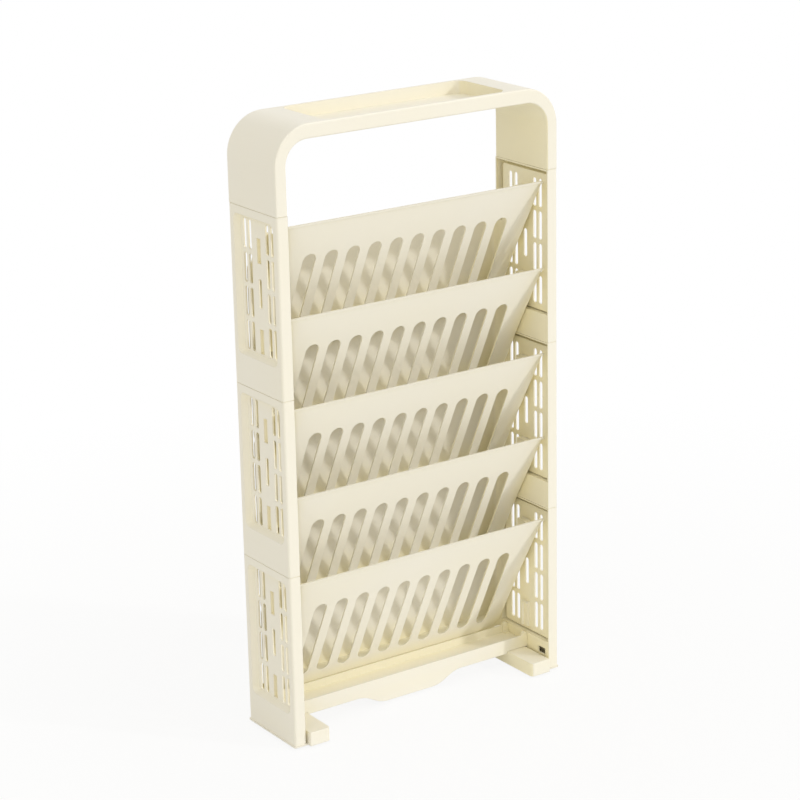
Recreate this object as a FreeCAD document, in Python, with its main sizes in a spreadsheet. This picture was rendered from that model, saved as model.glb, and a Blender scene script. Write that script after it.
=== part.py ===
"""Rolling shelf unit: a slim moulded book rack that stands on hidden rollers.

Millimetres, +Z up, the front faces -Y, and the origin is on the floor under the middle.
Two sides, each of three stacked grid modules, carry an arched hood, five leaning book
trays and a base crosspiece. They stand on two feet, each with two rollers under it.
"""
import FreeCAD, Part
import math
import os
from types import SimpleNamespace

import Sketcher
from FreeCAD import Placement, Rotation, Vector

# Driving sizes: name, value, meaning
SIZES = (
    ("width", 402.0, "across the outer faces of the two sides"),
    ("depth", 105.0, "front to back of a side"),
    ("wall", 2.0, "moulded wall"),
    ("fit", 0.3, "clearance between moulded pieces that go together"),
    ("seam", 0.6, "height and depth of the shadow line at a seam"),
    ("side_thick", 15.0, "outer to inner face of a side"),
    ("side_round", 3.0, "radius of a side's outer upright edges"),
    ("module_height", 218.7, "side module, seam to seam"),
    ("base_box", 35.0, "closed box at the foot of a module"),
    ("spigot", 12.0, "height of a stacking spigot"),
    ("grid_margin", 9.0, "upright rim beside the sunk grid"),
    ("grid_bottom", 38.5, "lower edge of the sunk grid"),
    ("grid_rail", 10.2, "rail between the sunk grid and the upper seam"),
    ("grid_sink", 7.0, "depth of the sunk grid"),
    ("grid_slope", 4.5, "run of the sloped wall round the grid"),
    ("grid_round", 8.0, "corner radius of the sunk grid"),
    ("slot_width", 6.6, "grid slot"),
    ("slot_bar", 5.0, "bar between the slots of a column"),
    ("slot_edge", 1.0, "flat between a column of slots and the sloped wall"),
    ("column_inset", 13.5, "outer column of grid slots from the edge of the grid"),
    ("column_pitch", 11.1, "inner to outer column of grid slots"),
    ("middle_rise", 23.0, "slot in the middle column above the lower boss"),
    ("boss_width", 12.0, "boss that carries a tray"),
    ("boss_foot", 3.7, "lower boss above the lower edge of the sunk grid"),
    ("boss_drop", 33.1, "top of a module's upper boss below the upper seam"),
    ("boss_reach", 4.0, "boss, inwards from the grid"),
    ("catch_width", 14.0, "hole for a crosspiece tongue"),
    ("catch_height", 8.0, "hole for a crosspiece tongue"),
    ("catch_inset", 14.3, "hole for a crosspiece tongue from the front or back of a side"),
    ("catch_z", 20.5, "middle of the tongue hole above the module's bottom"),
    ("hood_height", 102.8, "upper seam to the top of the hood"),
    ("hood_band", 17.9, "thickness of the hood's top"),
    ("hood_round", 48.0, "outer radius of the hood's corners"),
    ("hood_inner_round", 30.0, "inner radius of the hood's corners"),
    ("hood_edge", 2.0, "radius of the hood's front and back edges"),
    ("well_end", 71.0, "outer face of a side to the open tray in the hood's top"),
    ("well_rim", 4.5, "rim in front of and behind the open tray"),
    ("well_round", 14.0, "corner radius of the open tray"),
    ("well_floor", 1.8, "floor of the open tray"),
    ("leg_hollow", 46.0, "height of the hollow in a hood leg"),
    ("tray_gap", 1.3, "side's inner face to the end of a book tray"),
    ("lip_drop", 15.0, "lip of a module's upper tray below the upper seam"),
    ("heel_tuck", 0.5, "lower edge of the lowest tray below the top of the crosspiece"),
    ("heel_gap", 1.0, "back of the crosspiece to a tray's lower edge"),
    ("tray_front", 7.3, "tray lip behind the front of the sides"),
    ("tray_inset", 1.5, "back of a tray from the back of the sides"),
    ("bend_width", 44.0, "bent end of a tray's front, along its lower edge"),
    ("bend_back", 13.0, "how far that end bends back"),
    ("bend_round", 40.0, "radius of that bend"),
    ("bend_edge", 6.0, "radius of the edge beyond that bend"),
    ("tray_rear_corner", 10.0, "rear corner radius of a tray"),
    ("rear_gap", 1.85, "lower edge of the tray above to the top of a tray's rear wall"),
    ("floor_rise", 15.7, "top of the tray floor above the tray's lower edge"),
    ("wing_step", 23.7, "bend in the edge of a tray's end, from the back of the sides"),
    ("wing_foot", 15.7, "foot of that edge, from the back of the sides"),
    ("rim_height", 3.0, "thicker rim along a tray's lip"),
    ("rim_reach", 1.0, "rim, forwards of the tray's front"),
    ("tray_slot_width", 18.0, "slot in a tray's front"),
    ("tray_slot_top", 42.5, "upper end of a tray slot below the lip"),
    ("tray_slot_rise", 16.2, "lower end of a tray slot above the tray's lower edge"),
    ("tray_slot_margin", 46.1, "end of a tray to the middle of its outermost slot"),
    ("hook_cap", 4.0, "tray hook above the boss that it hangs on"),
    ("hook_short", 6.0, "tray hook's legs end above the boss's lower end"),
    ("foot_lift", 3.0, "underside of a foot above the floor"),
    ("foot_plate", 1.8, "foot plate under a side"),
    ("foot_rim", 1.2, "foot plate beyond the side"),
    ("foot_cheek", 4.8, "foot block beside the room of a roller"),
    ("foot_roof", 2.3, "foot block above the room of a roller"),
    ("foot_front", 6.5, "foot block forwards of the side"),
    ("foot_gap", 3.0, "side's inner face to the foot block"),
    ("foot_round", 5.0, "upright edges of a foot block"),
    ("foot_edge", 1.0, "upper edges of a foot block"),
    ("roller_diameter", 17.0, "roller"),
    ("roller_width", 15.0, "roller"),
    ("roller_inset", 8.0, "middle of a roller from the front or back of a side"),
    ("roller_room", 1.2, "room between a roller's tread and its pocket"),
    ("roller_edge", 1.5, "rounded edges of a roller"),
    ("axle_diameter", 4.0, "roller axle"),
    ("axle_seat", 3.0, "axle's hold in the foot at each end"),
    ("axle_fit", 0.05, "clearance round an axle"),
    ("cross_depth", 45.0, "front to back of the crosspiece"),
    ("cross_inset", 14.7, "back of the crosspiece from the back of the sides"),
    ("cross_top", 34.0, "top of the crosspiece walls above the foot's underside"),
    ("cross_floor", 24.0, "top of the crosspiece floor above the foot's underside"),
    ("apron_low", 15.0, "apron's lower edge near its ends"),
    ("apron_drop", 1.0, "apron's lower edge in the middle"),
    ("apron_middle", 44.0, "half width of the apron's low middle"),
    ("apron_swing", 26.0, "run of the curve beside the low middle"),
    ("apron_round", 40.0, "radius of the curve beside the low middle"),
    ("peg_width", 8.0, "round-topped peg at a crosspiece corner"),
    ("peg_rise", 4.0, "peg above the crosspiece walls"),
)
GRID_ROWS = 4
TRAYS = 5
TRAY_SLOTS = 10
# Level outlines of a tray: share of its height below the lip, and of its bends' width and reach there
TRAY_LEVELS = ((0.0, 0.1, 0.1), (0.5, 0.75, 0.6), (1.0, 1.0, 1.0))
# Heights of the edge of a tray's end, half way back and at its bend, as shares of the rear wall's top
WING_SHARES = (0.30, 0.68)


class Size:
    """A length with its value and the sheet formula that drives it."""

    def __init__(self, value, formula):
        self.value = value
        self.formula = formula

    def __add__(self, other):
        other = as_size(other)
        return Size(self.value + other.value, f"({self.formula} + {other.formula})")

    def __sub__(self, other):
        other = as_size(other)
        return Size(self.value - other.value, f"({self.formula} - {other.formula})")

    def __mul__(self, other):
        other = as_size(other)
        return Size(self.value * other.value, f"({self.formula} * {other.formula})")

    def __truediv__(self, other):
        other = as_size(other)
        return Size(self.value / other.value, f"({self.formula} / {other.formula})")

    def __neg__(self):
        return Size(-self.value, f"(0 - {self.formula})")

    def root(self):
        return Size(math.sqrt(self.value), f"sqrt({self.formula})")


def as_size(item):
    """A plain number as a size that nothing drives."""
    return item if isinstance(item, Size) else Size(float(item), f"{float(item)}")


def make_sheet(doc):
    """Write the driving sizes to the sheet and return them by name."""
    sheet = doc.addObject("Spreadsheet::Sheet", "Sizes")
    for row, (name, value, meaning) in enumerate(SIZES, start=1):
        sheet.set(f"A{row}", name)
        sheet.set(f"B{row}", str(value))
        sheet.setAlias(f"B{row}", name)
        sheet.set(f"C{row}", meaning)
    doc.recompute()
    return SimpleNamespace(**{name: Size(value, f"Sizes.{name}") for name, value, _ in SIZES})


doc = FreeCAD.newDocument("RollingShelfUnit")
S = make_sheet(doc)


# Drawing and feature helpers

def bind(item, name, size):
    """Drive one property of an object by a size."""
    size = as_size(size)
    item.setExpression(name, size.formula)


def place(item, x, y, z, turn=0):
    """Put an object at x, y, z, turned about the vertical."""
    spot = [as_size(size) for size in (x, y, z)]
    item.Placement = Placement(Vector(*[size.value for size in spot]), Rotation(Vector(0, 0, 1), turn))
    for axis, size in zip("xyz", spot):
        bind(item, f"Placement.Base.{axis}", size)


def hold(sketch, kind, where, size):
    """Add one driven dimension to a sketch."""
    index = sketch.addConstraint(Sketcher.Constraint(kind, *where, size.value))
    sketch.renameConstraint(index, f"size{index}")
    bind(sketch, f"Constraints.size{index}", size)


def hold_point(sketch, geometry, end, x, y):
    """Fix a point of a sketch at x, y from its origin."""
    hold(sketch, "DistanceX", (-1, 1, geometry, end), x)
    hold(sketch, "DistanceY", (-1, 1, geometry, end), y)


def corner_arc(before, at, after, radius):
    """Tangent points and centre of an arc that rounds one corner, and whether it turns left."""
    back = (before - at).normalize()
    ahead = (after - at).normalize()
    half = back.getAngle(ahead) / 2
    run = radius / math.tan(half)
    centre = at + (back + ahead).normalize() * (radius / math.sin(half))
    return at + back * run, at + ahead * run, centre, ahead.cross(back).z > 0


def outline(sketch, corners):
    """Draw a closed outline through corners of (x, y) or, where rounded, (x, y, radius)."""
    corners = [[as_size(item) for item in corner] for corner in corners]
    spots = [Vector(corner[0].value, corner[1].value, 0) for corner in corners]
    count = len(corners)
    arcs = {}
    for i, corner in enumerate(corners):
        if len(corner) == 3:
            arcs[i] = corner_arc(spots[i - 1], spots[i], spots[(i + 1) % count], corner[2].value)
    lines = []
    for i in range(count):
        after = (i + 1) % count
        start = arcs[i][1] if i in arcs else spots[i]
        end = arcs[after][0] if after in arcs else spots[after]
        lines.append(sketch.addGeometry(Part.LineSegment(start, end)))
    for i, corner in enumerate(corners):
        entering, leaving = lines[i - 1], lines[i]
        if i not in arcs:
            sketch.addConstraint(Sketcher.Constraint("Coincident", entering, 2, leaving, 1))
            hold_point(sketch, leaving, 1, corner[0], corner[1])
            continue
        first, last, centre, left = arcs[i]
        ends = [first, last] if left else [last, first]
        angles = [math.atan2(end.y - centre.y, end.x - centre.x) for end in ends]
        circle = Part.Circle(centre, Vector(0, 0, 1), corner[2].value)
        arc = sketch.addGeometry(Part.ArcOfCircle(circle, *angles))
        point = sketch.addGeometry(Part.Point(spots[i]), True)
        sketch.addConstraint(Sketcher.Constraint("Tangent", entering, 2, arc, 1 if left else 2))
        sketch.addConstraint(Sketcher.Constraint("Tangent", leaving, 1, arc, 2 if left else 1))
        sketch.addConstraint(Sketcher.Constraint("PointOnObject", point, 1, entering))
        sketch.addConstraint(Sketcher.Constraint("PointOnObject", point, 1, leaving))
        hold(sketch, "Radius", (arc,), corner[2])
        hold_point(sketch, point, 1, corner[0], corner[1])


def box_outline(sketch, x0, x1, y0, y1, radius=None):
    """Draw a rectangle, with all corners rounded if a radius is given."""
    corners = [(x0, y0), (x1, y0), (x1, y1), (x0, y1)]
    if radius is not None:
        corners = [corner + (radius,) for corner in corners]
    outline(sketch, corners)


def slot_outline(sketch, x, low, high, width):
    """Draw an upright round-ended slot with its middle at x."""
    x, low, high, width = [as_size(size) for size in (x, low, high, width)]
    radius = width / 2
    r = radius.value
    bottom = Vector(x.value, low.value + r, 0)
    top = Vector(x.value, high.value - r, 0)
    side = Vector(r, 0, 0)
    up = Vector(0, 0, 1)
    right = sketch.addGeometry(Part.LineSegment(bottom + side, top + side))
    cap = sketch.addGeometry(Part.ArcOfCircle(Part.Circle(top, up, r), 0, math.pi))
    left = sketch.addGeometry(Part.LineSegment(top - side, bottom - side))
    cup = sketch.addGeometry(Part.ArcOfCircle(Part.Circle(bottom, up, r), math.pi, 2 * math.pi))
    for line, arc in ((right, cap), (left, cup)):
        sketch.addConstraint(Sketcher.Constraint("Tangent", line, 2, arc, 1))
    for arc, line in ((cap, left), (cup, right)):
        sketch.addConstraint(Sketcher.Constraint("Tangent", arc, 2, line, 1))
    hold(sketch, "Radius", (cap,), radius)
    hold_point(sketch, cap, 3, x, high - radius)
    hold_point(sketch, cup, 3, x, low + radius)


def new_body(name):
    return doc.addObject("PartDesign::Body", name)


def sketch_on(body, name, plane, offset=None):
    """A sketch on one of a body's own origin planes, moved along the plane's normal."""
    sketch = body.newObject("Sketcher::SketchObject", name)
    support = [item for item in body.Origin.OriginFeatures if item.Role == f"{plane}_Plane"]
    sketch.AttachmentSupport = [(support[0], "")]
    sketch.MapMode = "FlatFace"
    if offset is not None:
        sketch.AttachmentOffset = Placement(Vector(0, 0, offset.value), Rotation())
        bind(sketch, "AttachmentOffset.Base.z", offset)
    return sketch


def feature(body, kind, name, sketch, length, reverse=False, midplane=False):
    """A pad or pocket of one sketch; a pocket cuts against the sketch's normal."""
    made = body.newObject(f"PartDesign::{kind}", name)
    made.Profile = sketch
    bind(made, "Length", length)
    made.Reversed = reverse
    made.Midplane = midplane
    return made


def upright_sketch(name, z):
    """A free horizontal sketch at height z."""
    sketch = doc.addObject("Sketcher::SketchObject", name)
    place(sketch, 0, 0, z)
    return sketch


def free_box(name, x0, x1, y0, y1, z0, z1):
    """A free block between two corners."""
    block = doc.addObject("Part::Box", name)
    spans = [as_size(high) - as_size(low) for low, high in ((x0, x1), (y0, y1), (z0, z1))]
    for side, span in zip(("Length", "Width", "Height"), spans):
        bind(block, side, span)
    place(block, x0, y0, z0)
    return block


def extrude(name, sketch, length, both=False):
    """A free solid that stands on a sketch."""
    solid = doc.addObject("Part::Extrusion", name)
    solid.Base = sketch
    solid.DirMode = "Normal"
    solid.Solid = True
    solid.Symmetric = both
    bind(solid, "LengthFwd", length)
    return solid


def combine(kind, name, first, second):
    """Part::Cut, Part::Common or Part::Fuse of two objects."""
    made = doc.addObject(f"Part::{kind}", name)
    made.Base = first
    made.Tool = second
    return made


def fuse_all(name, items):
    made = doc.addObject("Part::MultiFuse", name)
    made.Shapes = items
    made.Refine = True
    return made


def copy_of(form, label):
    """A sub-part that repeats a finished form."""
    body = new_body(label)
    body.BaseFeature = form
    return body


# Heights and widths that several pieces share
HALF_WIDTH = S.width / 2
HALF_DEPTH = S.depth / 2
INNER = HALF_WIDTH - S.side_thick
SIDES_BOTTOM = S.foot_lift + S.foot_plate
WEB_INSIDE = S.grid_sink + S.wall
GRID_HALF = HALF_DEPTH - S.grid_margin
GRID_TOP = S.module_height - S.grid_rail
CATCH_Y = HALF_DEPTH - S.catch_inset

TRAY_PITCH = S.module_height / 2
TRAY_LIP = S.module_height - S.lip_drop
TRAY_DROP = TRAY_LIP - (S.cross_top - S.foot_plate - S.heel_tuck)
TRAY_REAR_TOP = TRAY_DROP - TRAY_PITCH + S.rear_gap
TRAY_HALF = INNER - S.tray_gap
TRAY_BACK = HALF_DEPTH - S.tray_inset
LIP_Y = S.tray_front - HALF_DEPTH
CROSS_BACK = HALF_DEPTH - S.cross_inset
CROSS_FRONT = CROSS_BACK - S.cross_depth
TRAY_SLOPE = (CROSS_BACK + S.heel_gap - LIP_Y) / TRAY_DROP

BOSS_TOP = S.module_height - S.boss_drop
BOSS_HEIGHT = BOSS_TOP - TRAY_PITCH - S.grid_bottom - S.boss_foot
BOSS_BELOW_LIP = TRAY_LIP - BOSS_TOP

AXLE_HEIGHT = S.roller_diameter / 2
ROLLER_ROOM = AXLE_HEIGHT + S.roller_room
ROLLER_Y = HALF_DEPTH - S.roller_inset
FOOT_START = S.side_thick + S.foot_gap
ROLLER_X = FOOT_START + S.foot_cheek + ROLLER_ROOM
FOOT_REACH = ROLLER_X + ROLLER_ROOM + S.foot_cheek
FOOT_HEIGHT = AXLE_HEIGHT + ROLLER_ROOM - S.foot_lift + S.foot_roof


def ring(sketch, grow):
    """Draw the hollow spigot that fits a base box, less a clearance."""
    outer = S.wall + grow
    inner = outer + S.wall
    for inset in (outer, inner):
        box_outline(sketch, inset, S.side_thick - inset, inset - HALF_DEPTH, HALF_DEPTH - inset)


def make_module():
    """Side module: a moulded shell with a sunk grid, a base box and a stacking spigot.

    x runs inwards from the outer face and z up from the lower seam.
    """
    body = new_body("SideModule")
    thick, high, wall = S.side_thick, S.module_height, S.wall
    rim = HALF_DEPTH - wall

    block = sketch_on(body, "BlockOutline", "XY")
    round_edge = S.side_round
    outline(block, [(0, -HALF_DEPTH, round_edge), (thick, -HALF_DEPTH), (thick, HALF_DEPTH),
                    (0, HALF_DEPTH, round_edge)])
    feature(body, "Pad", "Block", block, high - S.seam)
    neck = sketch_on(body, "NeckOutline", "XY", high - S.seam)
    box_outline(neck, S.seam, thick - S.seam, S.seam - HALF_DEPTH, HALF_DEPTH - S.seam, S.side_round / 2)
    feature(body, "Pad", "Neck", neck, S.seam)
    spigot = sketch_on(body, "SpigotOutline", "XY", high)
    ring(spigot, S.fit)
    feature(body, "Pad", "Spigot", spigot, S.spigot)

    socket = sketch_on(body, "SocketOutline", "XY")
    box_outline(socket, wall, thick - wall, -rim, rim)
    feature(body, "Pocket", "Socket", socket, S.base_box - wall, reverse=True)

    sunk = sketch_on(body, "SunkOutline", "YZ")
    box_outline(sunk, -GRID_HALF, GRID_HALF, S.grid_bottom, GRID_TOP, S.grid_round)
    sunk_floor = sketch_on(body, "SunkFloorOutline", "YZ", S.grid_sink)
    slope = S.grid_slope
    flat_low, flat_high, flat_half = S.grid_bottom + slope, GRID_TOP - slope, GRID_HALF - slope
    box_outline(sunk_floor, -flat_half, flat_half, flat_low, flat_high, S.grid_round - slope)
    recess = body.newObject("PartDesign::SubtractiveLoft", "SunkGrid")
    recess.Profile = sunk
    recess.Sections = [sunk_floor]
    recess.Ruled = True

    inside = sketch_on(body, "InsideOutline", "YZ", thick)
    box_outline(inside, -rim, rim, S.base_box, high - S.seam - wall)
    feature(body, "Pocket", "Inside", inside, thick - WEB_INSIDE)
    groove = sketch_on(body, "GrooveOutline", "YZ", WEB_INSIDE)
    island = GRID_HALF + wall
    box_outline(groove, -rim, rim, S.base_box, high - S.seam - wall)
    box_outline(groove, -island, island, S.grid_bottom - wall, GRID_TOP + wall, wall * 2)
    feature(body, "Pocket", "Groove", groove, WEB_INSIDE - wall)

    boss = S.boss_width / 2
    tops = (BOSS_TOP, BOSS_TOP - TRAY_PITCH)
    bosses = sketch_on(body, "BossOutline", "YZ", WEB_INSIDE)
    for top in tops:
        box_outline(bosses, -boss, boss, top - BOSS_HEIGHT, top)
    feature(body, "Pad", "Bosses", bosses, S.boss_reach)
    hollows = sketch_on(body, "BossHollowOutline", "YZ", S.grid_sink)
    for top in tops:
        box_outline(hollows, wall - boss, boss - wall, top - BOSS_HEIGHT + wall, top - wall)
    feature(body, "Pocket", "BossHollows", hollows, S.boss_reach, reverse=True)

    slots = sketch_on(body, "SlotOutline", "YZ", S.grid_sink)
    first = flat_low + S.slot_edge
    pitch = (flat_high - S.slot_edge - first + S.slot_bar) / GRID_ROWS
    tall = pitch - S.slot_bar
    column = GRID_HALF - S.column_inset
    for row in range(GRID_ROWS):
        low = first + pitch * row
        for y in (column, column - S.column_pitch, S.column_pitch - column, -column):
            slot_outline(slots, y, low, low + tall, S.slot_width)
    middle = tops[1] + S.middle_rise
    slot_outline(slots, 0, middle, middle + tall, S.slot_width)
    feature(body, "Pocket", "Slots", slots, S.wall, reverse=True)
    return body


def make_lower_module(module):
    """The lowest module also has holes for the crosspiece tongues."""
    body = copy_of(module, "LowerModule")
    catch = sketch_on(body, "CatchOutline", "YZ", S.side_thick)
    for y in (-CATCH_Y, CATCH_Y):
        box_outline(catch, y - S.catch_width / 2, y + S.catch_width / 2,
                    S.catch_z - S.catch_height / 2, S.catch_z + S.catch_height / 2)
    feature(body, "Pocket", "Catches", catch, S.wall)
    return body


def make_hood():
    """Arched hood with hollow legs and an open tray sunk in its top."""
    body = new_body("top_hood")
    high, band, round_out, round_in = S.hood_height, S.hood_band, S.hood_round, S.hood_inner_round
    arch = sketch_on(body, "ArchOutline", "XZ")
    outline(arch, [(-HALF_WIDTH, 0), (-INNER, 0), (-INNER, high - band, round_in),
                   (INNER, high - band, round_in), (INNER, 0), (HALF_WIDTH, 0),
                   (HALF_WIDTH, high, round_out), (-HALF_WIDTH, high, round_out)])
    block = feature(body, "Pad", "Arch", arch, S.depth, midplane=True)
    doc.recompute()

    edges = [f"Edge{i}" for i, edge in enumerate(block.Shape.Edges, start=1)
             if outer_hood_edge(edge)]
    rounded = body.newObject("PartDesign::Fillet", "ArchEdges")
    rounded.Base = (block, edges)
    bind(rounded, "Radius", S.hood_edge)

    well = sketch_on(body, "WellOutline", "XY", high)
    well_x, well_y = HALF_WIDTH - S.well_end, HALF_DEPTH - S.well_rim
    box_outline(well, -well_x, well_x, -well_y, well_y, S.well_round)
    feature(body, "Pocket", "Well", well, band - S.well_floor)
    legs = sketch_on(body, "LegOutline", "XY")
    wall = S.wall
    rim = HALF_DEPTH - wall
    for low, far in ((INNER, HALF_WIDTH), (-HALF_WIDTH, -INNER)):
        box_outline(legs, low + wall, far - wall, -rim, rim)
    feature(body, "Pocket", "LegHollows", legs, S.leg_hollow, reverse=True)
    place(body, 0, 0, SIDES_BOTTOM + S.module_height * 3)
    return body


def outer_hood_edge(edge):
    """Whether an edge runs along the front or back of the hood, above the seam."""
    box = edge.BoundBox
    return box.YLength < 1e-6 and box.ZMax > 1e-6


def tray_section(name, level, inset):
    """Level outline of a tray, with its front's ends bent back; it runs on behind the tray."""
    share, width_share, reach_share = level
    drop = TRAY_DROP * share
    sketch = upright_sketch(name, -drop)
    front = LIP_Y + drop * TRAY_SLOPE + inset * (TRAY_SLOPE * TRAY_SLOPE + 1).root()
    half = TRAY_HALF - inset
    flat = half - S.bend_width * width_share
    end = front + S.bend_back * reach_share
    rear = TRAY_BACK + S.bend_back * 2
    bend, edge = S.bend_round * width_share, S.bend_edge * width_share
    outline(sketch, [(-half, end, edge), (-flat, front, bend), (flat, front, bend), (half, end, edge),
                     (half, rear), (-half, rear)])
    return sketch


def tray_hull(name, inset):
    """Solid that a tray's walls follow: a leaning front with ends that bend back more lower down."""
    loft = doc.addObject("Part::Loft", f"{name}Front")
    loft.Sections = [tray_section(f"{name}Section{i}", level, inset) for i, level in enumerate(TRAY_LEVELS)]
    loft.Solid = True
    loft.Ruled = True
    plan = upright_sketch(f"{name}Plan", -TRAY_DROP)
    half = TRAY_HALF - inset
    rear = TRAY_BACK - inset
    corner = S.tray_rear_corner - inset
    outline(plan, [(-half, -HALF_DEPTH), (half, -HALF_DEPTH), (half, rear, corner), (-half, rear, corner)])
    rear_block = extrude(f"{name}Rear", plan, TRAY_DROP)
    return combine("Common", name, loft, rear_block)


def profile_sketch(name, x):
    """A free sketch that looks along x, with y to the right and z up."""
    sketch = doc.addObject("Sketcher::SketchObject", name)
    sketch.Placement = Placement(Vector(x.value, 0, 0), Rotation(Vector(1, 1, 1), 120))
    bind(sketch, "Placement.Base.x", x)
    return sketch


def make_tray():
    """Book tray: a V-shaped pocket with a slotted front, a narrow floor and end hooks.

    z is 0 at the lip.
    """
    half, slope = TRAY_HALF, TRAY_SLOPE
    hull = tray_hull("TrayHull", as_size(0))
    shell = combine("Cut", "TrayShell", hull, tray_hull("TrayRoom", S.wall))

    # The ends fall away backwards from the lip to the low rear wall
    ends = profile_sketch("TrayEndOutline", -half - S.wall)
    over, behind = S.rim_height, HALF_DEPTH + S.rim_height
    middle, low = [TRAY_REAR_TOP * share for share in WING_SHARES]
    outline(ends, [(LIP_Y, 0), (0, -middle), (HALF_DEPTH - S.wing_step, -low),
                   (HALF_DEPTH - S.wing_foot, -TRAY_REAR_TOP), (behind, -TRAY_REAR_TOP),
                   (behind, over), (LIP_Y, over)])
    walls = combine("Cut", "TrayWalls", shell, extrude("TrayEndCut", ends, (half + S.wall) * 2))

    slots = doc.addObject("Sketcher::SketchObject", "TraySlotOutline")
    slots.Placement = Placement(Vector(0, 0, 0), Rotation(Vector(1, 0, 0), 90))
    slot_end = TRAY_DROP - S.tray_slot_rise
    outer_slot = half - S.tray_slot_margin
    for i in range(TRAY_SLOTS):
        x = outer_slot * (2 * i / (TRAY_SLOTS - 1) - 1)
        slot_outline(slots, x, -slot_end, -S.tray_slot_top, S.tray_slot_width)
    cut_from = LIP_Y + slot_end * slope + S.wall * 2
    slots.Placement.Base.y = cut_from.value
    bind(slots, "Placement.Base.y", cut_from)
    slotted = combine("Cut", "TraySlotted", walls, extrude("TraySlotCut", slots, HALF_DEPTH + cut_from))

    floor_top = TRAY_DROP - S.floor_rise
    floor_y = LIP_Y + floor_top * slope + S.wall
    slab = free_box("TrayFloorSlab", -half, half, floor_y, HALF_DEPTH, -floor_top - S.wall, -floor_top)
    floor = combine("Common", "TrayFloor", hull, slab)

    rim = profile_sketch("TrayRimOutline", -half)
    reach, tall = S.rim_reach, S.rim_height
    outline(rim, [(LIP_Y - reach, 0), (LIP_Y + S.wall, 0), (LIP_Y + S.wall + tall * slope, -tall),
                  (LIP_Y - reach + tall * slope, -tall)])
    lip = extrude("TrayRim", rim, half * 2)
    pieces = [slotted, floor, lip] + [tray_hook(side) for side in (-1, 1)]
    return fuse_all("BookTray", pieces)


def tray_hook(side):
    """Hook at one end of a tray that drops over a side's boss and stands on its top."""
    name = "Right" if side > 0 else "Left"
    half = TRAY_HALF
    inside = S.boss_width / 2 + S.fit
    outside = inside + S.wall
    seat = -BOSS_BELOW_LIP
    low = seat - BOSS_HEIGHT + S.hook_short
    top = seat + S.hook_cap
    reach = HALF_WIDTH - WEB_INSIDE - S.fit - half
    ear_x = half - S.wall
    ear = profile_sketch(f"HookEar{name}Outline", ear_x if side > 0 else -half)
    box_outline(ear, -outside, outside, low, top)
    hook = profile_sketch(f"Hook{name}Outline", half if side > 0 else -half - reach)
    outline(hook, [(-outside, low), (-inside, low), (-inside, seat), (inside, seat),
                   (inside, low), (outside, low), (outside, top), (-outside, top)])
    return combine("Fuse", f"TrayHook{name}", extrude(f"HookEar{name}", ear, S.wall),
                   extrude(f"HookGrip{name}", hook, reach))


def make_foot():
    """Foot: a plate under a side, with a spigot up into it and a block that houses two rollers.

    x runs inwards from the side's outer face and z up from the foot's underside.
    """
    body = new_body("Foot")
    start = FOOT_START
    front = HALF_DEPTH + S.foot_front
    plate_y = HALF_DEPTH + S.foot_rim
    corner = S.foot_round
    plate = sketch_on(body, "PlateOutline", "XY")
    outline(plate, [(-S.foot_rim, -plate_y, S.side_round), (start, -plate_y), (start, plate_y),
                    (-S.foot_rim, plate_y, S.side_round)])
    feature(body, "Pad", "Plate", plate, S.foot_plate)
    block = sketch_on(body, "FootBlockOutline", "XY")
    outline(block, [(start, -front, S.foot_edge), (FOOT_REACH, -front, corner),
                    (FOOT_REACH, front, corner), (start, front, S.foot_edge)])
    padded = feature(body, "Pad", "FootBlock", block, FOOT_HEIGHT)
    doc.recompute()
    edges = [f"Edge{i}" for i, edge in enumerate(padded.Shape.Edges, start=1)
             if abs(edge.BoundBox.ZMin - FOOT_HEIGHT.value) < 1e-6]
    softened = body.newObject("PartDesign::Fillet", "FootBlockEdges")
    softened.Base = (padded, edges)
    bind(softened, "Radius", S.foot_edge)
    spigot = sketch_on(body, "FootSpigotOutline", "XY", S.foot_plate)
    ring(spigot, S.fit)
    feature(body, "Pad", "FootSpigot", spigot, S.spigot)

    half_pocket = S.roller_width / 2 + S.fit
    pockets = sketch_on(body, "RollerRoomOutline", "XY")
    left, right = ROLLER_X - ROLLER_ROOM, ROLLER_X + ROLLER_ROOM
    for y in (-ROLLER_Y, ROLLER_Y):
        box_outline(pockets, left, right, y - half_pocket, y + half_pocket)
    feature(body, "Pocket", "RollerRooms", pockets, FOOT_HEIGHT - S.foot_roof, reverse=True)
    slot = S.axle_diameter + S.axle_fit * 2
    long = (half_pocket + S.axle_seat) * 2
    for end, y in (("Front", -ROLLER_Y), ("Rear", ROLLER_Y)):
        seat = sketch_on(body, f"AxleSeat{end}Outline", "XZ", -y)
        high = AXLE_HEIGHT - S.foot_lift + slot / 2
        slot_outline(seat, ROLLER_X, -slot, high, slot)
        feature(body, "Pocket", f"AxleSeat{end}", seat, long, midplane=True)
    return body


def make_roller():
    """Roller with rounded edges, turned about y through its middle."""
    body = new_body("Roller")
    section = sketch_on(body, "RollerSection", "XY")
    bore = S.axle_diameter / 2 + S.axle_fit
    half = S.roller_width / 2
    tread = S.roller_diameter / 2
    edge = S.roller_edge
    outline(section, [(bore, -half), (tread, -half, edge), (tread, half, edge), (bore, half)])
    turned = body.newObject("PartDesign::Revolution", "RollerTurned")
    turned.Profile = section
    turned.ReferenceAxis = (section, ["V_Axis"])
    turned.Angle = 360
    return body


def make_axle():
    """Plain steel pin along y."""
    body = new_body("AxlePin")
    end = sketch_on(body, "AxleEnd", "XZ")
    radius = S.axle_diameter / 2
    disc = end.addGeometry(Part.Circle(Vector(0, 0, 0), Vector(0, 0, 1), radius.value))
    end.addConstraint(Sketcher.Constraint("Coincident", disc, 3, -1, 1))
    hold(end, "Radius", (disc,), radius)
    feature(body, "Pad", "Pin", end, S.roller_width + S.fit + S.axle_seat * 2, midplane=True)
    return body


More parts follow.
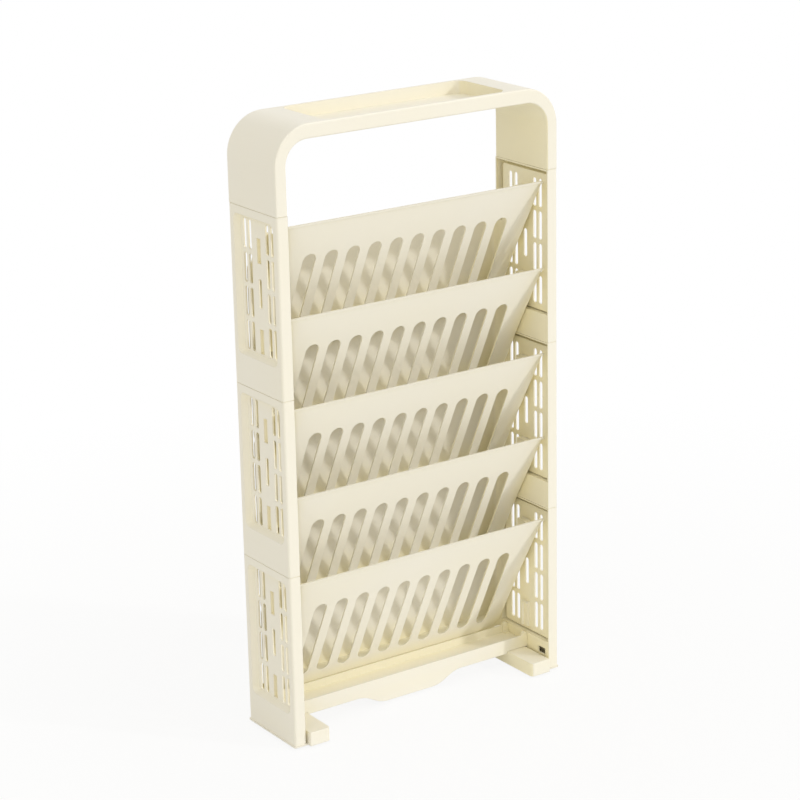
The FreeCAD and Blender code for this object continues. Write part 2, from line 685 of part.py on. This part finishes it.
def make_crosspiece():
    """Base crosspiece: an open trough with a wavy apron, corner pegs and end tongues.

    z is 0 at the feet's underside.
    """
    body = new_body("base_crosspiece")
    half = INNER - S.fit
    wall = S.wall
    low, middle, drop = S.apron_low, S.apron_middle, S.apron_drop
    swing = middle + S.apron_swing
    bend = S.apron_round
    over_foot = FOOT_HEIGHT + S.fit
    foot_side = HALF_WIDTH - FOOT_REACH - S.fit
    apron = sketch_on(body, "ApronOutline", "XZ", -CROSS_FRONT)
    outline(apron, [(-half, over_foot), (-foot_side, over_foot), (-foot_side, low), (-swing, low, bend),
                    (-middle, drop, bend), (middle, drop, bend), (swing, low, bend), (foot_side, low),
                    (foot_side, over_foot), (half, over_foot), (half, S.cross_top), (-half, S.cross_top)])
    feature(body, "Pad", "Apron", apron, wall, reverse=True)
    floor = sketch_on(body, "CrossFloorOutline", "XY", S.cross_floor - wall)
    box_outline(floor, -half, half, CROSS_FRONT, CROSS_BACK)
    feature(body, "Pad", "CrossFloor", floor, wall)
    back = sketch_on(body, "CrossBackOutline", "XZ", -CROSS_BACK)
    box_outline(back, -half, half, S.cross_floor - wall, S.cross_top)
    feature(body, "Pad", "CrossBack", back, wall)
    for end, offset, flip in (("Front", -CROSS_FRONT, True), ("Back", -CROSS_BACK, False)):
        pegs = sketch_on(body, f"Pegs{end}Outline", "XZ", offset)
        for x in (half - S.peg_width / 2, S.peg_width / 2 - half):
            slot_outline(pegs, x, over_foot, S.cross_top + S.peg_rise, S.peg_width)
        feature(body, "Pad", f"Pegs{end}", pegs, wall * 2, reverse=flip)
    tongue_z = S.foot_plate + S.catch_z
    high = S.catch_height / 2 - S.fit
    across = S.catch_width / 2 - S.fit
    tongue = sketch_on(body, "TongueOutline", "YZ", -half - S.fit - wall * 2)
    box_outline(tongue, CATCH_Y - across, CATCH_Y + across, tongue_z - high, tongue_z + high)
    feature(body, "Pad", "TongueLeft", tongue, S.fit + wall * 2 + S.peg_width)
    other = sketch_on(body, "TongueRightOutline", "YZ", half + S.fit + wall * 2)
    box_outline(other, CATCH_Y - across, CATCH_Y + across, tongue_z - high, tongue_z + high)
    feature(body, "Pad", "TongueRight", other, S.fit + wall * 2 + S.peg_width, reverse=True)
    place(body, 0, 0, S.foot_lift)
    return body


def assemble():
    """Place every sub-part and return them by name."""
    hood, foot = make_hood(), make_foot()
    parts = [hood, make_crosspiece()]
    module = make_module()
    lower_module = make_lower_module(module)
    roller, axle = make_roller(), make_axle()
    tray = make_tray()
    for side, edge, turn in (("left", -HALF_WIDTH, 0), ("right", HALF_WIDTH, 180)):
        stack = (("lower", lower_module), ("middle", module), ("upper", module))
        for level, (name, form) in enumerate(stack):
            piece = copy_of(form, f"side_panel_{name}_{side}")
            place(piece, edge, 0, SIDES_BOTTOM + S.module_height * level, turn)
            parts.append(piece)
        piece = copy_of(foot, f"foot_{side}")
        place(piece, edge, 0, S.foot_lift, turn)
        parts.append(piece)
        roller_x = edge + ROLLER_X if side == "left" else edge - ROLLER_X
        for end, y in (("front", -ROLLER_Y), ("rear", ROLLER_Y)):
            for name, form in (("roller", roller), ("axle", axle)):
                piece = copy_of(form, f"{name}_{end}_{side}")
                place(piece, roller_x, y, AXLE_HEIGHT)
                parts.append(piece)
    for i in range(TRAYS):
        piece = copy_of(tray, f"book_tray_{i + 1}")
        place(piece, 0, 0, SIDES_BOTTOM + TRAY_LIP + TRAY_PITCH * i)
        parts.append(piece)
    return parts


def check(parts):
    """Stop if any object failed or any sub-part isn't one sound solid."""
    for item in doc.Objects:
        if "Invalid" in item.State or "Error" in item.State:
            raise RuntimeError(f"{item.Label} failed: {item.State}")
    for part in parts:
        shape = part.Shape
        if shape.isNull() or not shape.isValid() or len(shape.Solids) != 1:
            raise RuntimeError(f"{part.Label} isn't one sound solid")


parts = assemble()
doc.recompute()
check(parts)
os.makedirs("parts", exist_ok=True)
for part in parts:
    part.Shape.Solids[0].exportStep(f"parts/{part.Label}.step")
    box = part.Shape.BoundBox
    print(f"{part.Label}: {box.XLength:.1f} x {box.YLength:.1f} x {box.ZLength:.1f} mm")
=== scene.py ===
"""Looks of the rolling shelf unit: ivory moulded plastic that stands on hidden rollers.

Metres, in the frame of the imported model: +Z up, the front faces -Y, the floor is at z = 0.
"""

import math

import bmesh
import bpy
import numpy as np
from mathutils import Matrix, Vector


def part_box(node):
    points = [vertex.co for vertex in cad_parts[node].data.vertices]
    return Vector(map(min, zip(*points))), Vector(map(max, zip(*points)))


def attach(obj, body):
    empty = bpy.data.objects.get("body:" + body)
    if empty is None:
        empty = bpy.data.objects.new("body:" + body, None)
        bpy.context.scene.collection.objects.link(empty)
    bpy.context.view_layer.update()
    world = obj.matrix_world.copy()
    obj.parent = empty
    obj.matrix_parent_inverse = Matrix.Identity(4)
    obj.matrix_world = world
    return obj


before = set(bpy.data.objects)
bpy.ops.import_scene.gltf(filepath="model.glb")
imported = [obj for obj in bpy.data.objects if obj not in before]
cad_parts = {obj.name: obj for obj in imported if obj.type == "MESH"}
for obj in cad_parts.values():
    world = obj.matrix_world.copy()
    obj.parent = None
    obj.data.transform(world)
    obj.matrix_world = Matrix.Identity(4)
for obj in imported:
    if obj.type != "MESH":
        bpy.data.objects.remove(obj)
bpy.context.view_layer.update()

# The view: degrees, metres and pixels, from the outlines of the real unit
VIEW_AZIMUTH = 34.32
VIEW_ELEVATION = 17.81
VIEW_ROLL = -1.22
VIEW_DISTANCE = 3.0844
VIEW_TARGET = Vector((-0.0023, -0.0012, 0.3927))
VIEW_FOCAL_PIXELS = 2529.5
PICTURE_PIXELS = 800
SENSOR_MILLIMETRES = 36.0

# Colours, linear
IVORY = (0.920, 0.887, 0.795)
# The plastic's warmer tone, and also the painted warm shade in folds and on faces turned inwards or down
IVORY_WARM_TONE_AND_SHADE = (0.955, 0.868, 0.525)
# Paler ivory of the painted highlights on edges
IVORY_EDGE_HIGHLIGHT = (0.940, 0.920, 0.850)
WHEEL_GREY = (0.30, 0.30, 0.29)
WHEEL_DUST = (0.42, 0.41, 0.39)
STEEL = (0.56, 0.56, 0.57)
STEEL_STREAK = (0.68, 0.68, 0.69)
FLOOR_WHITE = (0.90, 0.90, 0.88)
WHITE = (1.0, 1.0, 1.0)
SKY_CREAM = (1.0, 0.975, 0.91)
LAMP_CREAM = (1.0, 0.95, 0.81)

# Middle of a noise, which is 0 to 1
NOISE_MIDDLE = 0.5

# Warm tone of the ivory and its painted warm shade: its clouds to a metre, the reach of a fold in metres,
# and shares of the warm colour
CLOUDS = 7.0
CLOUD_DETAIL = 3.0
CLOUD_WARMTH = 0.22
EVEN_WARMTH = 0.04
FOLD_REACH = 0.03
FOLD_SAMPLES = 6
FOLD_OUTSIDE = 0.35
FOLD_MOST = 0.62
PAINTED_SHELTER_SHADE = 0.45

# Where the painted warm shade begins and where it is full
INSIDE = (0.1885, 0.18683)
TURNED_IN = (-0.0667, -0.1)
TURNED_DOWN = (-0.5, -1.0)
ABOVE_FLOOR = (0.010, 0.035)

# Painted highlights on the ivory's edges, which are also glossier: the agreement of the true and the rounded
# normal, and what they change
EDGE_AGREEMENT = (1.0, 0.8)
EDGE_SAMPLES = 4
EDGE_HIGHLIGHT_SHARE = 0.45
EDGE_GLOSS = 0.08

# Moulded surface of the ivory: grains and ripples to a metre, their relief, and what they change
GRAINS = 1400.0
RIPPLES = 55.0
RIPPLE_DETAIL = 1.0
GRAIN_SHARE = 0.6
RELIEF_STRENGTH = 0.10
RELIEF_HEIGHT = 0.0004
GRAIN_ROUGHNESS = 0.10
CLOUD_ROUGHNESS = 0.08
IVORY_GLOSS = 0.38

# Rollers and axles: marks to a metre along each axis, and what they change
TURNING_MARKS = (60.0, 2400.0, 60.0)
TURNING_DETAIL = 1.0
TURNING_STRENGTH = 0.25
TURNING_HEIGHT = 0.0003
DUST_SPOTS = 160.0
DUST_DETAIL = 4.0
DUST_SHARE = 0.5
WHEEL_ROUGHNESS = 0.5
DUST_ROUGHNESS = 0.2
DRAWN_STREAKS = (2600.0, 40.0, 2600.0)
STEEL_ROUGHNESS = 0.25
STREAK_ROUGHNESS = 0.2

# Heel of the lowest tray, metres: the foot of its leaning front, whose ends bend back
HEEL_FRONT = 0.0388
HEEL_REAR = 0.0510
HEEL_FURTHEST = 0.0499
HEEL_FLAT = 0.1407
HEEL_END = 0.1853
HEEL_TAB_START = 0.170
HEEL_TAB_RUN = 0.008
HEEL_TAB_RISE = 0.009
HEEL_BEND = 13.0 / 44.0
HEEL_BEND_EASE = 0.0058
HEEL_SLOPE = 0.4884
HEEL_DEPTH = 0.0060
HEEL_OVERLAP = 0.0010
HEEL_INSET = 0.0003
HEEL_THICK = 0.0014
HEEL_STATIONS = 161
HEEL_FOOT_POINTS = 9

# Bent rib on the lowest boss of each side, which carries no tray, metres
RIB_FACE = 0.188
RIB_FRONT = -0.0060
RIB_BEND = 0.0025
RIB_REAR = 0.0060
RIB_TOP = 0.0810
RIB_LOW = 0.0471
RIB_BAR = 0.0024
RIB_PROUD = 0.0024
RIB_EDGE = 0.0004
RIB_SUNK = 0.0003

# Lamps: name, direction it shines from, strength, softness in degrees and colour
LAMPS = (
    ("KeyLamp", (0.62, -0.76, 0.42), 0.91, 4, WHITE),
    ("LeftLamp", (-0.72, -0.66, 0.18), 0.50, 50, LAMP_CREAM),
    ("TopLamp", (0.1, -0.2, 1.0), 0.50, 80, WHITE),
)

# Sky and floor: strength of the sky on the unit, half the floor, and how the floor goes over into white
SKY_LIGHT = 0.6
FLOOR_HALF = 6.0
FLOOR_GLOW = 0.88
FLOOR_FADE = (0.35, 1.25)


class Wire:
    """A shader socket in an expression; each operation on it adds one Math node."""

    def __init__(self, finish, socket):
        self.finish = finish
        self.socket = socket

    def math(self, operation, *values):
        return self.finish.node("ShaderNodeMath", {"operation": operation}, dict(enumerate(values)))

    def __add__(self, other):
        return self.math("ADD", self, other)

    def __radd__(self, other):
        return self.math("ADD", other, self)

    def __sub__(self, other):
        return self.math("SUBTRACT", self, other)

    def __rsub__(self, other):
        return self.math("SUBTRACT", other, self)

    def __mul__(self, other):
        return self.math("MULTIPLY", self, other)

    def __rmul__(self, other):
        return self.math("MULTIPLY", other, self)

    def __abs__(self):
        return self.math("ABSOLUTE", self)

    def at_least(self, other):
        """The larger of two values."""
        return self.math("MAXIMUM", self, other)

    def at_most(self, other):
        """The smaller of two values."""
        return self.math("MINIMUM", self, other)

    def clamped(self):
        """The value held between 0 and 1."""
        return self.at_least(0.0).at_most(1.0)

    def ramp(self, start, full):
        """0 up to `start`, 1 from `full` on, and a straight line between; `full` may be the lower one."""
        return ((self - start) * (1 / (full - start))).clamped()


class Finish:
    """The nodes of one material or world."""

    def __init__(self, owner, ending):
        owner.use_nodes = True
        self.owner = owner
        self.ending = ending
        self.tree = owner.node_tree
        self.tree.nodes.clear()

    def node(self, kind, settings=None, sockets=None, out=0):
        """Add a node: settings first, then its sockets' values or links; gives the socket `out`."""
        made = self.tree.nodes.new(kind)
        for name, value in (settings or {}).items():
            setattr(made, name, value)
        for name, value in (sockets or {}).items():
            if isinstance(value, Wire):
                self.tree.links.new(value.socket, made.inputs[name])
            else:
                made.inputs[name].default_value = value
        return None if out is None else Wire(self, made.outputs[out])

    def place(self):
        """Position on the piece, in metres."""
        return self.node("ShaderNodeTexCoord", out="Object")

    def along(self, axis, vector=None):
        """One part of a vector, or of the position on the piece."""
        return self.node("ShaderNodeSeparateXYZ", {}, {0: vector or self.place()}, out=axis)

    def stretched(self, scale):
        """Position on the piece, multiplied along each axis."""
        return self.node("ShaderNodeMapping", {}, {"Vector": self.place(), "Scale": scale})

    def noise(self, scale, detail=2.0, vector=None):
        """Cloudy value about the middle of 0 and 1, with `scale` clouds to a metre."""
        sockets = {"Vector": vector or self.place(), "Scale": scale, "Detail": detail}
        return self.node("ShaderNodeTexNoise", {}, sockets)

    def blend(self, amount, first, second):
        """Colour between two colours."""
        return self.node("ShaderNodeMix", {"data_type": "RGBA"}, {0: amount, 6: first, 7: second}, out=2)

    def background_ray(self):
        """1 on a ray that shows the background: straight to the camera, by a gloss or through glass."""
        kinds = ("Is Camera Ray", "Is Glossy Ray", "Is Transmission Ray")
        camera, glossy, through = [self.node("ShaderNodeLightPath", out=kind) for kind in kinds]
        return (camera + glossy + through).clamped()

    def surface(self, sockets):
        """End the material in a Principled surface."""
        return self.end(self.node("ShaderNodeBsdfPrincipled", {}, sockets))

    def end(self, shader):
        """Join the last shader to the output; gives the finished material or world."""
        self.node(self.ending, {}, {"Surface": shader}, out=None)
        return self.owner


def new_finish(name):
    """A material with no nodes yet."""
    return Finish(bpy.data.materials.new(name), "ShaderNodeOutputMaterial")


def rgba(colour):
    """A colour as the sockets take it."""
    return (*colour, 1.0)


def ivory_tone_and_painted_shade(finish, normal, cloud, painted_fold_shade):
    """Share of the warm colour: clouds all over as the plastic's own tone, painted warm shade in folds, and
    a least share of painted warm shade on sheltered faces.

    A fold is where little open air is near. Its painted shade counts in full inside the unit, less outside,
    and not where the floor alone makes it. Faces turned inwards or down get painted warm shade that stands
    in for the light other ivory faces bounce onto them.
    """
    settings = {"samples": FOLD_SAMPLES}
    open_air = finish.node("ShaderNodeAmbientOcclusion", settings, {"Distance": FOLD_REACH}, out="AO")
    across = finish.along("X")
    turned_in = (across * finish.along("X", normal)).ramp(*TURNED_IN)
    turned_down = finish.along("Z", normal).ramp(*TURNED_DOWN)
    inside = abs(across).ramp(*INSIDE).at_least(turned_in)
    above_floor = finish.along("Z").ramp(*ABOVE_FLOOR).at_least(turned_in)
    counted = above_floor * (FOLD_OUTSIDE + inside * (1 - FOLD_OUTSIDE))
    # Painted warm shade in folds, for light that other ivory faces bounce into them
    fold = ((1 - open_air) * counted * painted_fold_shade).at_most(FOLD_MOST)
    # Painted warm shade on faces turned inwards or down
    sheltered = turned_in.at_least(turned_down) * PAINTED_SHELTER_SHADE
    return (fold.at_least(sheltered) + (cloud - NOISE_MIDDLE) * CLOUD_WARMTH + EVEN_WARMTH).clamped()


def ivory_plastic(name, roughness, edge_radius, painted_fold_shade):
    """Satin moulded plastic: cloudy tone, painted warm shade in folds, painted edge highlights, a fine
    grain.
    """
    finish = new_finish(name)
    cloud = finish.noise(CLOUDS, CLOUD_DETAIL)
    normal = finish.node("ShaderNodeNewGeometry", out="Normal")
    tone_and_shade = ivory_tone_and_painted_shade(finish, normal, cloud, painted_fold_shade)
    # Ivory, warmer by its own clouded tone and by the painted warm shade
    plain = finish.blend(tone_and_shade, rgba(IVORY), rgba(IVORY_WARM_TONE_AND_SHADE))

    rounded = finish.node("ShaderNodeBevel", {"samples": EDGE_SAMPLES}, {"Radius": edge_radius})
    agreement = finish.node("ShaderNodeVectorMath", {"operation": "DOT_PRODUCT"}, {0: rounded, 1: normal},
                            out="Value")
    # Painted highlight on rounded edges, paler and glossier
    edge_highlight = agreement.ramp(*EDGE_AGREEMENT)
    colour = finish.blend(edge_highlight * EDGE_HIGHLIGHT_SHARE, plain, rgba(IVORY_EDGE_HIGHLIGHT))

    grain = finish.noise(GRAINS)
    ripple = finish.noise(RIPPLES, RIPPLE_DETAIL)
    relief = grain * GRAIN_SHARE + ripple * (1 - GRAIN_SHARE)
    bump = finish.node("ShaderNodeBump", {}, {"Strength": RELIEF_STRENGTH, "Distance": RELIEF_HEIGHT,
                                              "Normal": rounded, "Height": relief})
    dullness = (grain - NOISE_MIDDLE) * GRAIN_ROUGHNESS + (cloud - NOISE_MIDDLE) * CLOUD_ROUGHNESS
    return finish.surface({"Base Color": colour, "Roughness": roughness + dullness - edge_highlight * EDGE_GLOSS,
                           "Specular IOR Level": IVORY_GLOSS, "Normal": bump})


def wheel_plastic(name):
    """Dull grey plastic with fine turning marks round the tread and spots of dust."""
    finish = new_finish(name)
    rings = finish.noise(1.0, TURNING_DETAIL, finish.stretched(TURNING_MARKS))
    dust = finish.noise(DUST_SPOTS, DUST_DETAIL)
    colour = finish.blend((dust * DUST_SHARE).clamped(), rgba(WHEEL_GREY), rgba(WHEEL_DUST))
    bump = finish.node("ShaderNodeBump", {}, {"Strength": TURNING_STRENGTH, "Distance": TURNING_HEIGHT,
                                              "Height": rings})
    roughness = WHEEL_ROUGHNESS + dust * DUST_ROUGHNESS
    return finish.surface({"Base Color": colour, "Roughness": roughness, "Normal": bump})


def drawn_steel(name):
    """Bright drawn wire with streaks along the pin."""
    finish = new_finish(name)
    streaks = finish.noise(1.0, vector=finish.stretched(DRAWN_STREAKS))
    colour = finish.blend(streaks, rgba(STEEL), rgba(STEEL_STREAK))
    roughness = STEEL_ROUGHNESS + streaks * STREAK_ROUGHNESS
    return finish.surface({"Base Color": colour, "Metallic": 1.0, "Roughness": roughness})


def node_names(*starts):
    """CAD pieces whose names begin with one of some words."""
    return [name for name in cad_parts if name.startswith(starts)]


def dress(names, material):
    """Give CAD pieces a finish."""
    for name in names:
        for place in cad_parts[name].material_slots:
            place.material = material


def closed_piece(name, points, material):
    """A piece of the frame, from rings of points in an array (ring, place, xyz).

    Walls join each ring to the next one, and both end rings are closed.
    """
    rings, places = points.shape[:2]
    number = np.arange(rings * places).reshape(rings, places)
    turned = np.roll(number, -1, axis=1)
    walls = np.stack((number[:-1], number[1:], turned[1:], turned[:-1]), axis=-1).reshape(-1, 4)
    faces = walls.tolist() + [number[0].tolist(), number[-1][::-1].tolist()]
    mesh = bpy.data.meshes.new(name)
    mesh.from_pydata(points.reshape(-1, 3).tolist(), [], faces)
    form = bmesh.new()
    form.from_mesh(mesh)
    bmesh.ops.recalc_face_normals(form, faces=form.faces)
    form.to_mesh(mesh)
    form.free()
    mesh.materials.append(material)
    piece = bpy.data.objects.new(name, mesh)
    bpy.context.scene.collection.objects.link(piece)
    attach(piece, "frame")


def make_boss_rib(name, side, material):
    """Raised rib on a bare boss: a bar along its top that bends down along its rear.

    The outline's six corners (y, z) stand on three rings, at the foot, the shoulder and the crown. The crown
    is drawn in by the width of the edge, each corner towards the inside of the bar.
    """
    under = RIB_TOP - RIB_BAR
    corners = np.array([(RIB_FRONT, under), (RIB_FRONT, RIB_TOP), (RIB_REAR, RIB_TOP),
                        (RIB_REAR, RIB_LOW), (RIB_BEND, RIB_LOW), (RIB_BEND, under)])
    inwards = np.array([(1, 1), (1, -1), (-1, -1), (-1, 1), (1, 1), (1, 1)])
    proud = np.array([-RIB_SUNK, RIB_PROUD - RIB_EDGE, RIB_PROUD])
    drawn_in = np.array([0.0, 0.0, RIB_EDGE])
    outline = corners + drawn_in[:, None, None] * inwards
    x = np.broadcast_to(side * (RIB_FACE - proud)[:, None, None], outline.shape[:2] + (1,))
    closed_piece(name, np.concatenate((x, outline), axis=-1), material)


def make_tray_heel(material):
    """Strip that carries the lowest tray's front on downwards, behind the crosspiece.

    Along x the front line is y = front + bend * u, with u the way beyond the flat middle, eased by a
    parabola where the bend begins. A round-footed profile (share of the thickness, drop) is carried along it
    and leans back as it drops; the lean and the thickness die away towards the ends, which rise as tabs
    beside the tray's corners.
    """
    x = np.linspace(-HEEL_END, HEEL_END, HEEL_STATIONS)
    beyond = np.abs(x) - HEEL_FLAT
    eased = np.clip(beyond + HEEL_BEND_EASE, 0.0, 2 * HEEL_BEND_EASE) ** 2 / (4 * HEEL_BEND_EASE)
    bent = HEEL_BEND * np.where(beyond > HEEL_BEND_EASE, beyond, eased)
    front = np.minimum(HEEL_FRONT + bent, HEEL_FURTHEST)
    stretch = math.hypot(1.0, HEEL_SLOPE)
    lean = HEEL_SLOPE * (1 - np.clip(beyond / (HEEL_END - HEEL_FLAT), 0.0, 1.0))
    thick = np.minimum(HEEL_THICK, (HEEL_REAR - front) / stretch - HEEL_INSET)
    tab = np.clip((np.abs(x) - HEEL_TAB_START) / HEEL_TAB_RUN, 0.0, 1.0)
    rise = HEEL_OVERLAP + HEEL_TAB_RISE * tab * tab * (3 - 2 * tab)

    angle = np.linspace(0.0, math.pi, HEEL_FOOT_POINTS)
    radius = HEEL_THICK / 2
    share = np.concatenate(([0.0], 0.5 - 0.5 * np.cos(angle), [1.0]))
    foot = np.broadcast_to(HEEL_DEPTH - radius + radius * np.sin(angle), (x.size, angle.size))
    drop = np.hstack((-rise[:, None], foot, -rise[:, None]))
    y = front[:, None] + stretch * (HEEL_INSET + thick[:, None] * share) + lean[:, None] * drop
    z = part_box("book_tray_1")[0][2] - drop
    closed_piece("tray_heel", np.stack(np.broadcast_arrays(x[:, None], y, z), axis=-1), material)


def make_camera():
    """Camera on the line of sight from the front left, a little above."""
    angles = (VIEW_AZIMUTH, VIEW_ELEVATION, VIEW_ROLL)
    azimuth, elevation, roll = [math.radians(angle) for angle in angles]
    back = Vector((-math.sin(azimuth) * math.cos(elevation), -math.cos(azimuth) * math.cos(elevation),
                   math.sin(elevation)))
    level = Vector((math.cos(azimuth), -math.sin(azimuth), 0.0))
    up = back.cross(level)
    across = level * math.cos(roll) + up * math.sin(roll)
    above = up * math.cos(roll) - level * math.sin(roll)
    data = bpy.data.cameras.new("Camera")
    data.sensor_width = SENSOR_MILLIMETRES
    data.lens = VIEW_FOCAL_PIXELS * SENSOR_MILLIMETRES / PICTURE_PIXELS
    camera = bpy.data.objects.new("Camera", data)
    turn = Matrix((across, above, back)).transposed().to_4x4()
    camera.matrix_world = Matrix.Translation(VIEW_TARGET + back * VIEW_DISTANCE) @ turn
    bpy.context.scene.collection.objects.link(camera)
    bpy.context.scene.camera = camera


def make_lamp(name, toward, strength, softness, colour):
    """A distant soft lamp that shines from a direction."""
    data = bpy.data.lights.new(name, "SUN")
    data.energy = strength
    data.angle = math.radians(softness)
    data.color = colour
    lamp = bpy.data.objects.new(name, data)
    lamp.rotation_mode = "QUATERNION"
    lamp.rotation_quaternion = Vector(toward).to_track_quat("Z", "Y")
    bpy.context.scene.collection.objects.link(lamp)


def make_sky():
    """Even pale sky that looks white."""
    world = bpy.data.worlds.new("Studio")
    bpy.context.scene.world = world
    sky = Finish(world, "ShaderNodeOutputWorld")
    shown = sky.background_ray()
    colour = sky.blend(shown, rgba(SKY_CREAM), rgba(WHITE))
    strength = SKY_LIGHT + shown * (1 - SKY_LIGHT)
    sky.end(sky.node("ShaderNodeBackground", {}, {"Color": colour, "Strength": strength}))


def floor_white():
    """Matte white that goes over into an even white further out."""
    finish = new_finish("FloorWhite")
    matte = finish.node("ShaderNodeBsdfDiffuse", {}, {"Color": rgba(FLOOR_WHITE)})
    glow = finish.node("ShaderNodeEmission", {}, {"Color": rgba(WHITE), "Strength": 1.0})
    away = finish.node("ShaderNodeVectorMath", {"operation": "LENGTH"}, {0: finish.place()}, out="Value")
    shown = finish.background_ray() * (FLOOR_GLOW + away.ramp(*FLOOR_FADE) * (1 - FLOOR_GLOW))
    return finish.end(finish.node("ShaderNodeMixShader", {}, {0: shown, 1: matte, 2: glow}))


def make_floor():
    """White floor that keeps the unit's shadow."""
    half = FLOOR_HALF
    mesh = bpy.data.meshes.new("Floor")
    mesh.from_pydata([(-half, -half, 0), (half, -half, 0), (half, half, 0), (-half, half, 0)], [],
                     [(0, 1, 2, 3)])
    mesh.materials.append(floor_white())
    floor = bpy.data.objects.new("Floor", mesh)
    bpy.context.scene.collection.objects.link(floor)


# The finishes, and the CAD pieces that wear them
# The last number is the share of painted warm shade in each finish's folds
tray_ivory = ivory_plastic("IvoryTrays", roughness=0.44, edge_radius=0.0006, painted_fold_shade=0.8)
hood_ivory = ivory_plastic("IvoryHood", roughness=0.40, edge_radius=0.0008, painted_fold_shade=0.3)
side_ivory = ivory_plastic("IvorySides", roughness=0.40, edge_radius=0.0007, painted_fold_shade=1.6)
base_ivory = ivory_plastic("IvoryBase", roughness=0.42, edge_radius=0.0008, painted_fold_shade=1.0)
dress(node_names("side_panel"), side_ivory)
dress(node_names("top_hood"), hood_ivory)
dress(node_names("book_tray"), tray_ivory)
dress(node_names("base", "foot"), base_ivory)
dress(node_names("roller"), wheel_plastic("RollerGrey"))
dress(node_names("axle"), drawn_steel("AxleSteel"))

# The pieces of thin trim
make_tray_heel(tray_ivory)
make_boss_rib("boss_rib_left", -1, hood_ivory)
make_boss_rib("boss_rib_right", 1, hood_ivory)

# The studio: a lamp from the front right, weaker ones from the left and above, sky, floor and camera
for lamp in LAMPS:
    make_lamp(*lamp)
make_sky()
make_floor()
make_camera()
bpy.context.scene.view_settings.view_transform = "Standard"
